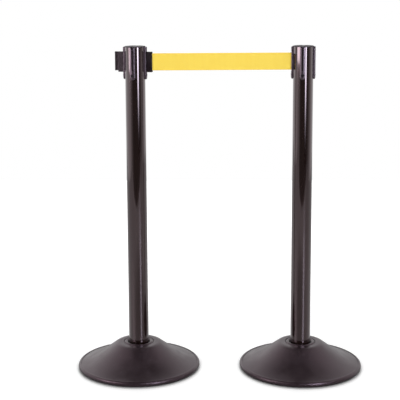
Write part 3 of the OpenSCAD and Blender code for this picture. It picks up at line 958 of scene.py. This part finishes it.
@dataclass
class Belt:
    """A post's webbing belt, from its wound part through the mouth to the loop in its clip."""

    owner: Post
    holder: Post
    finishes: Finishes
    strap_t: float = 0.5 * MM
    layer_gap: float = 0.04 * MM
    loop_gap: float = 0.1 * MM
    coil_gap: float = 0.3 * MM
    guide_gap: float = 0.8 * MM
    guide_r: float = 1.5 * MM
    clip_tail: float = 6.0 * MM
    sewn: float = 4.0 * MM
    loop_open: float = math.radians(28)
    loop_neck: float = 1.5
    loop_steps: int = 24
    bend_steps: int = 8

    def __post_init__(self) -> None:
        """Reads the places of the clip's pin, the guide pins and the wound belt."""
        self.pin = centre_of(self.owner.node("clip_pin"))
        self.guides = centre_of(self.owner.node("guide_pins"))
        low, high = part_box(self.owner.node("belt_coil"))
        self.low, self.high = low.z, high.z
        self.wound_r = (high.x - low.x) / 2
        pin_low, pin_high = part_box(self.owner.node("clip_pin"))
        self.loop_r = (pin_high.x - pin_low.x) / 2 + self.loop_gap + self.strap_t / 2
        self.layer = (self.strap_t + self.layer_gap) / 2

    def clip_point(self, along: float, across: float) -> Vector:
        """A point near the clip's pin.

        Args:
            along: Distance from the pin towards the belt's run.
            across: Distance towards the back.

        Returns:
            The point, on the floor.
        """
        turned = Matrix.Rotation(-self.holder.turn, 3, "Z")
        point = self.pin + turned @ Vector((along, across, 0.0))
        return Vector((point.x, point.y, 0.0))

    def clip_loop(self) -> list[Vector]:
        """Path from the belt's sewn end, round the clip's pin, to where it leaves the clip.

        Returns:
            The points of the path.
        """
        lead = (self.clip_tail + self.sewn, self.clip_tail, self.loop_neck * self.loop_r)
        points = [self.clip_point(along, -self.layer) for along in lead]
        for i in range(self.loop_steps + 1):
            angle = -self.loop_open - (TURN - 2 * self.loop_open) * i / self.loop_steps
            points.append(self.clip_point(self.loop_r * math.cos(angle), self.loop_r * math.sin(angle)))
        points.extend(self.clip_point(along, self.layer) for along in reversed(lead))
        return points

    def feed(self) -> list[Vector]:
        """Path from between the guide pins, round the back one, to the wound belt.

        Returns:
            The points of the path.
        """
        bend_r = self.guide_r + self.guide_gap / 2
        x = (self.guides - self.owner.axis).xy.length
        wound = self.wound_r + self.coil_gap + self.strap_t / 2
        leave = math.atan2(bend_r, -x) - math.acos((wound + bend_r) / math.hypot(x, bend_r))
        points = []
        for i in range(self.bend_steps + 1):
            angle = -math.pi / 2 + (leave - math.pi / 2) * i / self.bend_steps
            points.append(self.owner.at(-x + bend_r * math.cos(angle), bend_r + bend_r * math.sin(angle)))
        points.append(self.owner.at(wound * math.cos(leave), wound * math.sin(leave)))
        return points

    def strap(self, name: str, path: list[Vector]) -> tuple[bpy.types.Object, float]:
        """Builds one stretch of the belt along a path, and gives the piece with its length."""
        strap = Strap(self.owner.node(name), path, self.low, self.high, self.finishes.webbing)
        return strap.build(), strap.length()

    def declare(self, piece: bpy.types.Object, length: float, ends: list[str]) -> None:
        """Does nothing with the stretch."""


def between(start: Vector, end: Vector, count: int) -> list[Vector]:
    """A number of evenly spaced points from start to end, without start itself."""
    return [start.lerp(end, (i + 1) / count) for i in range(count)]


@dataclass
class ParkedBelt(Belt):
    """The left post's belt, wound in with its clip parked at the mouth."""

    stretch_steps: int = 12

    def build(self) -> None:
        """Builds the belt."""
        loop = self.clip_loop()
        feed = self.feed()
        path = loop + between(loop[-1], feed[0], self.stretch_steps) + feed[1:]
        piece, length = self.strap("parked_strap", path)
        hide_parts(self.owner.node("belt"))
        self.owner.body
        self.owner.node("belt_end")
        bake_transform(piece)
        self.declare(piece, length, [self.owner.node("belt_coil"), self.owner.node("clip_pin")])


@dataclass
class SpanBelt(Belt):
    """The right post's belt, drawn across to the left post and latched there.

    It is two stretches that meet in the span, one at the reel and one at the clip.
    """

    split: float = 0.36
    reach: float = 2.0 * MM
    mouth_r: float = 36.3 * MM
    run_steps: int = 40
    mouth_steps: int = 4

    def build(self) -> None:
        """Builds both stretches."""
        loop = self.clip_loop()
        feed = self.feed()
        leave, enter = loop[-1], self.owner.at(-self.mouth_r - self.reach, 0.0)
        seam = leave.lerp(enter, self.split)
        clip_side, clip_length = self.strap("clip_strap", loop + between(leave, seam, self.run_steps))
        reel_path = [seam] + between(seam, enter, self.run_steps)
        reel_path += between(enter, feed[0], self.mouth_steps) + feed[1:]
        reel_side, reel_length = self.strap("reel_strap", reel_path)
        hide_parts(self.owner.node("belt"))
        self.holder.body
        self.owner.node("belt_end")
        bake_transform(clip_side)
        self.holder.body
        self.owner.body
        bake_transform(reel_side)
        self.declare(clip_side, clip_length, [self.owner.node("clip_pin"), reel_side.name])
        self.declare(reel_side, reel_length, [self.owner.node("belt_coil"), clip_side.name])


@dataclass
class BeltClip(PostPart):
    """The clip at a belt's end, with its pin."""

    finish: Finish
    ease: float = 0.5 * MM
    ease_steps: int = 3

    def build(self) -> None:
        """Builds the clip's moulding and dresses its pin."""
        EasedMoulding(
            self.post.node("belt_clip"), self.post.node("belt_clip_moulding"), self.post.node("belt_end"),
            Slot.CLIP, self.finish, self.ease, self.ease_steps,
        ).build()
        self.post.dress(self.finishes.ground_steel, "clip_pin")


# -------- Studio --------


@dataclass
class Softbox:
    """A soft lamp that lights the pair without being seen."""

    name: str
    place: Vector
    width: float
    power: float
    height: float = 1.8
    target: Vector = Vector((0.0, 0.0, 0.5)).freeze()

    def build(self) -> None:
        """Makes the lamp."""
        data = bpy.data.lights.new(self.name, "AREA")
        data.shape = "RECTANGLE"
        data.size, data.size_y = self.width, self.height
        data.energy = self.power
        lamp = link(self.name, data)
        lamp.location = self.place
        lamp.rotation_mode = "QUATERNION"
        lamp.rotation_quaternion = (self.target - self.place).to_track_quat("-Z", "Y")
        lamp.visible_camera = False
        lamp.visible_glossy = False


@dataclass(frozen=True)
class Fades:
    """How far in from each edge of a card its light changes, as shares of its width and height."""

    left: float
    right: float
    foot: float
    head: float


@dataclass(frozen=True)
class Glow(Look):
    """Light of a card, with one level in its middle and another along its edges."""

    middle: float
    fades: Fades
    rim: float = 1.0
    falloff: float = 1.0

    def wire(self) -> None:
        """Adds the finish's nodes."""
        g = self.graph
        over = g.add("ShaderNodeUVMap", uv_map="over").outputs["UV"]
        parts = g.add("ShaderNodeSeparateXYZ")
        g.join(over, parts.inputs["Vector"])
        across, up = parts.outputs["X"], parts.outputs["Y"]
        fades = self.fades
        edges = ((across, 0.0, fades.left), (across, 1.0, 1.0 - fades.right))
        edges += ((up, 0.0, fades.foot), (up, 1.0, 1.0 - fades.head))
        share = 1.0
        for place, edge, inner in edges:
            share = g.sum("MULTIPLY", share, g.span(place, edge, inner))
        share = g.sum("POWER", share, self.falloff)
        strength = g.sum("MULTIPLY_ADD", share, self.middle - self.rim, self.rim)
        glow = g.fill(g.add("ShaderNodeEmission"), Color=self.colour, Strength=strength)
        g.join(glow.outputs["Emission"], g.output.inputs["Surface"])


@dataclass
class Card:
    """A card around the pair that shows only in glossy surfaces."""

    name: str

    def grid(self) -> list[list[Vector]]:
        """Corners of the card, column by column from its left edge, each from its foot to its head."""
        raise NotImplementedError

    def mesh(self) -> bpy.types.Mesh:
        """Builds the card's mesh, with its UV map running over it from 0 to 1.

        Returns:
            The mesh.
        """
        shape = bmesh.new()
        places = shape.loops.layers.uv.new("over")
        columns = [[shape.verts.new(point) for point in column] for column in self.grid()]
        last = len(columns) - 1
        for i, (first, second) in enumerate(zip(columns, columns[1:])):
            face = shape.faces.new((first[0], second[0], second[1], first[1]))
            for loop, place in zip(face.loops, ((i, 0), (i + 1, 0), (i + 1, 1), (i, 1))):
                loop[places].uv = (place[0] / last, place[1])
        return mesh_of(self.name, shape)

    def build(self, glow: Glow) -> None:
        """Makes the card.

        Args:
            glow: Its light.
        """
        card = link(self.name, self.mesh())
        card.data.materials.append(glow.build())
        for ray in ("camera", "diffuse", "shadow", "transmission"):
            setattr(card, f"visible_{ray}", False)


@dataclass
class WallCard(Card):
    """An upright card curved about a centre, with its azimuths counted from the front towards the right."""

    distance: float
    azimuths: Range
    heights: Range
    centre: Vector = Vector((0.0, 0.0, 0.0)).freeze()
    steps: int = 48

    def grid(self) -> list[list[Vector]]:
        """Corners of the card, column by column along its curve.

        Returns:
            The columns, each from its foot to its head.
        """
        columns = []
        for i in range(self.steps + 1):
            turn = self.azimuths[0] + (self.azimuths[1] - self.azimuths[0]) * i / self.steps
            out = self.distance * Vector((math.sin(math.radians(turn)), -math.cos(math.radians(turn)), 0.0))
            columns.append([self.centre + out + Vector((0.0, 0.0, height)) for height in self.heights])
        return columns


@dataclass
class CeilingCard(Card):
    """A level card over the pair."""

    half_width: float
    front: float
    back: float
    height: float

    def grid(self) -> list[list[Vector]]:
        """Corners of the card, with its front as the foot and its back as the head."""
        sides = (-self.half_width, self.half_width)
        return [[Vector((x, y, self.height)) for y in (self.front, self.back)] for x in sides]


@dataclass
class Studio:
    """Pale floor, white surroundings, soft lamps and the camera."""

    axes: tuple[Vector, Vector]
    floor_front: float = 2.3
    floor_back: float = 2.9
    floor_side: float = 3.2
    floor_seen: Colour = (0.93, 0.93, 0.93)
    # Painted shade on the floor as reflections and bounced light see it: darker near the front of the pair, paler
    # further out.
    floor_shade_in_gloss: Colour = (0.28, 0.28, 0.28)
    floor_round: Colour = (0.50, 0.50, 0.50)
    # Painted contact shade: the floor's colour where things stand close to it.
    floor_painted_shade: Colour = (0.54, 0.54, 0.54)
    floor_roughness: float = 0.34
    floor_gloss: float = 0.25
    # Centre and reach of the painted shade that reflections see on the floor.
    gloss_shade_centre: Vector = Vector((0.0, -0.7, 0.0)).freeze()
    gloss_shade_reach: Range = (0.2, 1.1)
    # Ambient occlusion that places the painted contact shade: its distance, its lean towards Y and the range over
    # which the shade fades out.
    painted_shade_distance: float = 0.025
    painted_shade_lean: float = 1.0
    painted_shade_open: Range = (0.35, 0.80)
    lift_open: Range = (0.60, 0.86)
    near_lift: float = 0.16
    far_reach: Range = (0.3, 1.0)
    far_lift: float = 0.5
    world_light: float = 0.58
    camera_place: Vector = Vector((0.0056, -3.4, 1.2715)).freeze()
    yaw: float = -0.0186
    pitch: float = 0.1742
    roll: float = -0.0044
    lens: float = 103.51
    shift: float = -0.12

    def build(self) -> None:
        """Sets up the studio."""
        self.surroundings()
        self.floor()
        self.lamps()
        self.cards()
        self.camera()
        log.info("studio ready")

    def surroundings(self) -> None:
        """White surroundings, dimmer as a light on the pair."""
        world = bpy.data.worlds.new("white_surroundings")
        bpy.context.scene.world = world
        n = Nodes(world)
        rays = n.add("ShaderNodeLightPath").outputs
        mirrored = n.sum("MAXIMUM", rays["Is Glossy Ray"], rays["Is Transmission Ray"])
        seen = n.sum("MAXIMUM", rays["Is Camera Ray"], mirrored)
        back = n.add("ShaderNodeBackground")
        n.fill(back, Color=WHITE, Strength=n.span(seen, 0.0, 1.0, self.world_light))
        n.join(back.outputs["Background"], n.add("ShaderNodeOutputWorld").inputs["Surface"])

    def floor(self) -> None:
        """Pale floor that looks white to the camera and keeps the shadow, with painted contact shade where things
        stand close to it and painted shade near the pair as reflections and bounced light see it.
        """
        side, front, back = self.floor_side, self.floor_front, self.floor_back
        corners = ((-side, -front), (side, -front), (side, back), (-side, back))
        shape = bmesh.new()
        shape.faces.new([shape.verts.new((x, y, 0.0)) for x, y in corners])
        floor = link("studio_floor", mesh_of("studio_floor", shape))
        g = Graph("studio_paper")
        seen = g.add("ShaderNodeLightPath").outputs["Is Camera Ray"]
        # Painted shade that reflections and bounced light see on the floor, darkest near the front of the pair.
        gloss_shade_share = g.span(g.reach(self.gloss_shade_centre), *self.gloss_shade_reach)
        in_gloss = g.mix(gloss_shade_share, self.floor_shade_in_gloss, self.floor_round)
        # Painted contact shade: the paper darkens where things stand close, as ambient occlusion finds it.
        leans = (-self.painted_shade_lean, self.painted_shade_lean)
        clear = g.sum("MINIMUM", *(g.openness(self.painted_shade_distance, lean) for lean in leans))
        paper_with_painted_shade = g.mix(g.span(clear, *self.painted_shade_open), self.floor_painted_shade, self.floor_seen)
        g.surface(
            Base_Color=g.mix(seen, in_gloss, paper_with_painted_shade),
            Roughness=self.floor_roughness,
            Specular_IOR_Level=self.floor_gloss,
        )
        # Camera-only glow that lifts the paper to white. It is weaker near the posts' rest places and held back
        # where the painted contact shade lies.
        out = g.sum("MINIMUM", *(g.reach(axis) for axis in self.axes))
        level = g.span(out, *self.far_reach, self.near_lift, self.near_lift + self.far_lift)
        lifted = g.sum("MULTIPLY", level, g.span(clear, *self.lift_open))
        lift = g.fill(g.add("ShaderNodeEmission"), Strength=g.sum("MULTIPLY", seen, lifted))
        both = g.add("ShaderNodeAddShader")
        g.join(g.shader.outputs["BSDF"], both.inputs[0])
        g.join(lift.outputs["Emission"], both.inputs[1])
        g.join(both.outputs["Shader"], g.output.inputs["Surface"])
        dress(floor, g.material)

    def lamps(self) -> None:
        """Soft lamps from both sides in front, from above and, weaker, from behind."""
        lamps = (
            Softbox("right_front_lamp", Vector((1.3, -3.2, 1.5)), width=0.9, power=27.0),
            Softbox("left_front_lamp", Vector((-1.4, -3.1, 1.7)), width=1.2, power=27.0),
            Softbox("overhead_lamp", Vector((0.0, -0.6, 3.2)), width=2.6, power=30.2),
            Softbox("back_lamp", Vector((0.0, 3.2, 1.7)), width=1.6, power=12.0),
        )
        for lamp in lamps:
            lamp.build()

    def cards(self) -> None:
        """Dark room and bright boxes, as glossy surfaces see them."""
        WallCard("dark_front_card", distance=5.6, azimuths=(-85.0, 112.0), heights=(-3.0, 6.0)).build(
            Glow("dark_room_front", WHITE, middle=0.06, fades=Fades(0.32, 0.34, 0.001, 0.001))
        )
        CeilingCard("dark_ceiling_card", half_width=4.6, front=-8.0, back=7.0, height=7.0).build(
            Glow("dark_ceiling", WHITE, middle=0.05, fades=Fades(0.32, 0.32, 0.001, 0.2))
        )
        strip_fades = Fades(0.25, 0.25, 0.25, 0.1)
        WallCard("strip_box_card", distance=3.0, azimuths=(22.0, 42.0), heights=(0.10, 2.6)).build(
            Glow("strip_box_glow", (0.80, 0.87, 1.0), middle=17.5, rim=0.0, fades=strip_fades, falloff=2.0)
        )
        left_box = WallCard(
            "left_box_card", distance=2.1, azimuths=(-74.0, -28.0), heights=(0.69, 1.4), centre=self.axes[0]
        )
        left_box_fades = Fades(0.12, 0.45, 0.04, 0.1)
        left_box.build(Glow("left_box_glow", (1.0, 0.95, 1.0), middle=8.0, rim=0.0, fades=left_box_fades))
        WallCard("left_wall_card", distance=5.5, azimuths=(-175.0, -95.0), heights=(0.0, 5.0)).build(
            Glow("left_wall_glow", WHITE, middle=1.35, fades=Fades(0.2, 0.2, 0.2, 0.1))
        )

    def camera(self) -> None:
        """The camera, level with the posts' upper half and looking slightly down."""
        ahead = Vector((math.sin(self.yaw), math.cos(self.yaw), 0.0))
        level = Vector((math.cos(self.yaw), -math.sin(self.yaw), 0.0))
        forward = math.cos(self.pitch) * ahead - math.sin(self.pitch) * Vector((0.0, 0.0, 1.0))
        upright = level.cross(forward)
        right = math.cos(self.roll) * level + math.sin(self.roll) * upright
        up = math.cos(self.roll) * upright - math.sin(self.roll) * level
        data = bpy.data.cameras.new("camera")
        data.lens = self.lens
        data.shift_y = self.shift
        data.clip_start = 50 * MM
        camera = link("camera", data)
        turn = Matrix((right, up, -forward)).transposed()
        camera.matrix_world = Matrix.Translation(self.camera_place) @ turn.to_4x4()
        bpy.context.scene.camera = camera


def main() -> None:
    """Builds and dresses the pair, then the studio around it."""
    logging.basicConfig(level=logging.INFO, format="%(name)s: %(message)s")
    bpy.context.scene.view_settings.view_transform = "Standard"
    left, right = (Post.find(side) for side in Side)
    low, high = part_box(left.node("belt_coil"))
    finishes = Finishes.make(low.z, high.z)
    for post in (left, right):
        for part in (WeightedBase, PostTube, Head, ReelCassette):
            part(post, finishes).build()
    BeltClip(left, finishes, finishes.lit_parked_clip).build()
    BeltClip(right, finishes, finishes.shaded_latched_clip).build()
    ParkedBelt(left, left, finishes).build()
    SpanBelt(right, left, finishes).build()
    Studio((left.axis, right.axis)).build()


if __name__ == "__main__":
    main()
